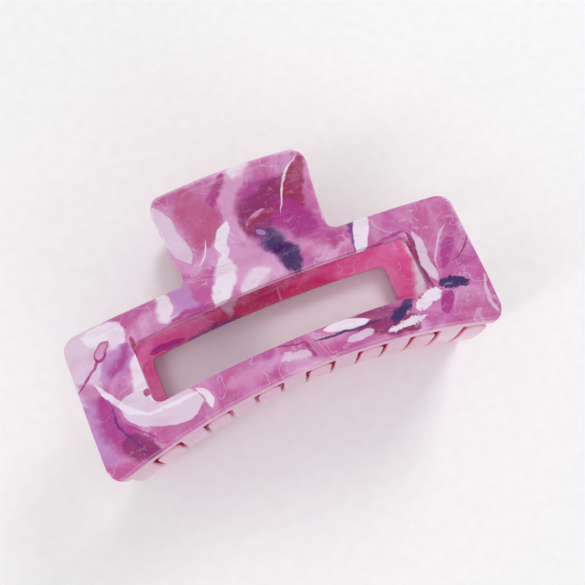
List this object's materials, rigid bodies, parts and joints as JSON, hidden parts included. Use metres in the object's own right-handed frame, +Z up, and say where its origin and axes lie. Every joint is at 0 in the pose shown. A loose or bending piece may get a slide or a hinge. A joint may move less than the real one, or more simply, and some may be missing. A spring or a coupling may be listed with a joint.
{
  "type": "hair claw clip",
  "caption": "Rectangular hair claw clip: two curved windowed jaws with interlocking teeth and flared thumb tabs, held closed by a torsion spring on a steel hinge pin.",
  "frame": {"origin": "middle of the clip's footprint on the surface it lies on, under its back jaw", "axes": "+X along the clip's length, +Y from the teeth towards the thumb tabs, +Z up through the back jaw, then the front jaw"},
  "size_m": [0.096, 0.0596, 0.036],
  "materials": {
    "front_jaw_plastic": "polished translucent acetate-look plastic, marbled pink, lilac, magenta, white and violet",
    "back_jaw_plastic": "polished translucent acetate-look plastic, marbled rose, crimson and magenta",
    "pin_steel": "drawn steel",
    "spring_steel": "bright spring wire"
  },
  "bodies": {
    "back_jaw": {"back_jaw": "back_jaw_plastic", "hinge_pin": "pin_steel", "torsion_spring": "spring_steel"},
    "front_jaw": {"front_jaw": "front_jaw_plastic"}
  },
  "joints": [
    {"name": "jaw_hinge", "type": "hinge", "parent": "back_jaw", "child": "front_jaw", "pos_m": [0, 0.01326, 0.018], "axis": [-1, 0, 0], "range_deg": [0, 80], "stiffness_Nm_per_rad": 0.06, "springref_deg": -57.3, "deforming": ["torsion_spring"]}
  ]
}
